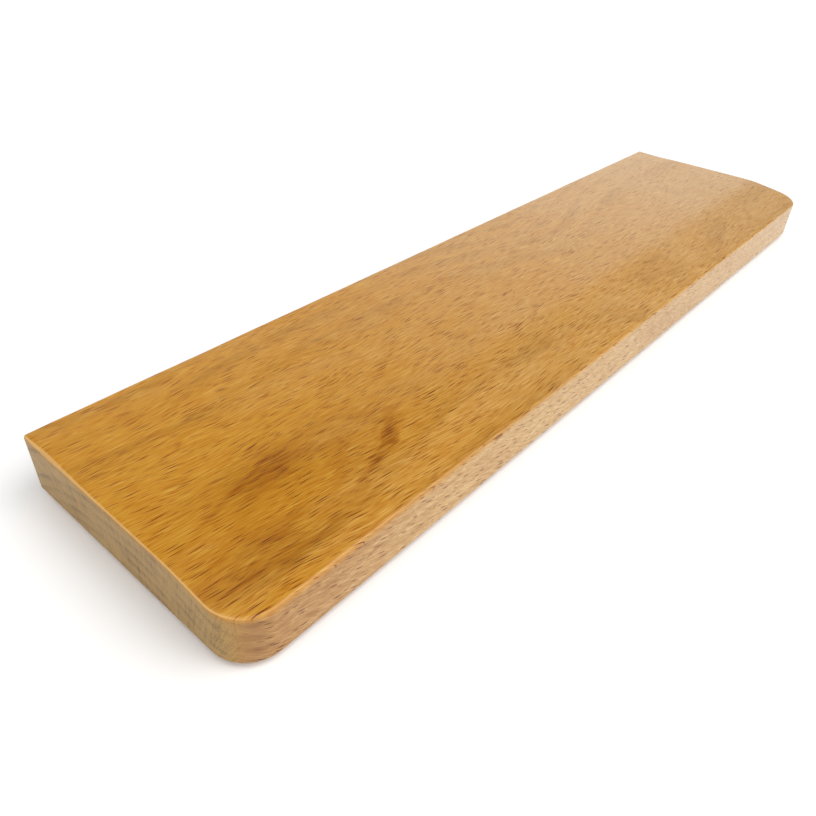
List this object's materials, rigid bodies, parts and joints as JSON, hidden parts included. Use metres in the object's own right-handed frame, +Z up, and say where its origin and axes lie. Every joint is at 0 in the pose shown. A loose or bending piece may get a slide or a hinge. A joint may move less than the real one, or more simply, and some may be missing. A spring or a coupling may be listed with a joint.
{
  "type": "keyboard wrist rest",
  "caption": "Solid wooden wrist rest for a compact keyboard: a flat board with a sloping, rounded front, on rubber feet.",
  "frame": {"origin": "on the desk under the middle of the board", "axes": "+X along the board to the typist's right, +Y towards the keyboard, +Z up"},
  "size_m": [0.315, 0.08, 0.0185],
  "materials": {
    "beech": "satin clear lacquer over flat-sawn beech",
    "rubber_foot": "matt moulded rubber",
    "adhesive_film": "milky acrylic adhesive film"
  },
  "bodies": {
    "root": {"board": "beech", "foot_front_left": "rubber_foot", "foot_front_centre": "rubber_foot", "foot_front_right": "rubber_foot", "foot_back_left": "rubber_foot", "foot_back_centre": "rubber_foot", "foot_back_right": "rubber_foot", "adhesive_front_left": "adhesive_film", "adhesive_front_centre": "adhesive_film", "adhesive_front_right": "adhesive_film", "adhesive_back_left": "adhesive_film", "adhesive_back_centre": "adhesive_film", "adhesive_back_right": "adhesive_film"}
  },
  "joints": []
}
